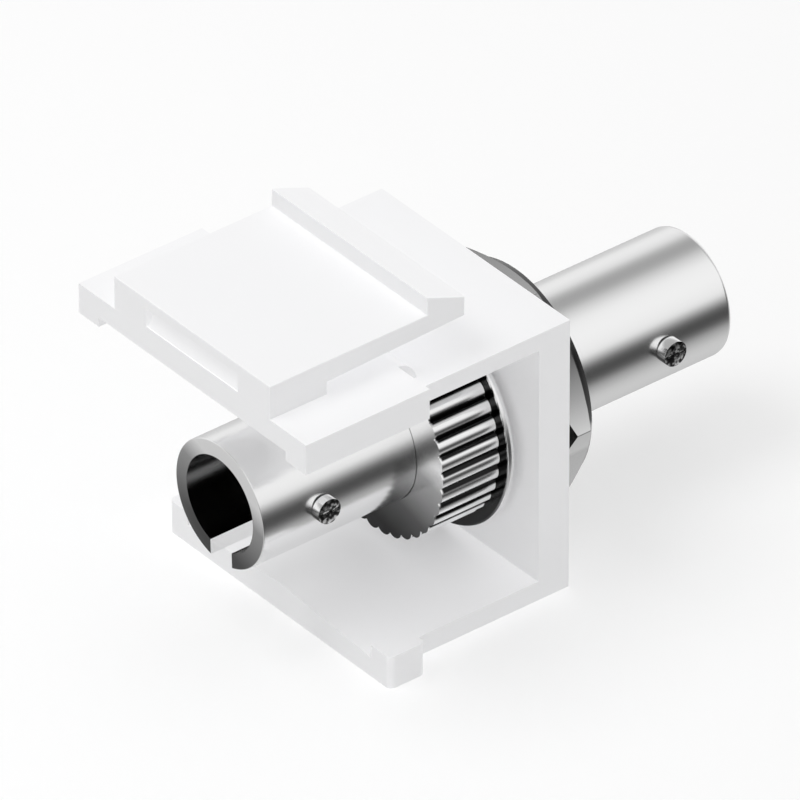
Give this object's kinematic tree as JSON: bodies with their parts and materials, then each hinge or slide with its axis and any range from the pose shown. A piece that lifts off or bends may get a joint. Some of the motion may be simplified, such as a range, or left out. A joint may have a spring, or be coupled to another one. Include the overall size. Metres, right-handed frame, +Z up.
{
  "type": "fibre keystone jack",
  "caption": "White keystone insert with a sprung latch that carries a nickel bayonet coupler through its wall to join two fibre plugs.",
  "frame": {"origin": "under the middle of the front bar's front face, on the plane that the insert stands on, where the panel opening's datum meets it", "axes": "+X across the insert to the right seen from the front, +Y from the front bar to the rear along the coupler, +Z up towards the latch"},
  "size_m": [0.018, 0.0316, 0.0201],
  "materials": {
    "white_plastic": "smooth white moulding with a soft sheen",
    "nickel_metal": "satin nickel plating over turned brass",
    "holder_metal": "dull grey turned metal",
    "ceramic": "polished white ceramic"
  },
  "bodies": {
    "jack": {"keystone_frame": "white_plastic", "fluted_collar": "nickel_metal", "front_barrel": "nickel_metal", "rear_barrel": "nickel_metal", "flat_washer": "nickel_metal", "hex_nut": "nickel_metal", "lug_front_right": "nickel_metal", "lug_front_left": "nickel_metal", "lug_rear_right": "nickel_metal", "lug_rear_left": "nickel_metal", "front_sleeve_holder": "holder_metal", "rear_sleeve_holder": "holder_metal", "split_sleeve": "ceramic"},
    "latch": {"latch_arm": "white_plastic"}
  },
  "joints": [
    {"name": "latch_press", "type": "hinge", "parent": "jack", "child": "latch", "pos_m": [0, 0.0036, 0.01785], "axis": [-1, 0, 0], "range_deg": [0, 7], "stiffness_Nm_per_rad": 0.6}
  ]
}
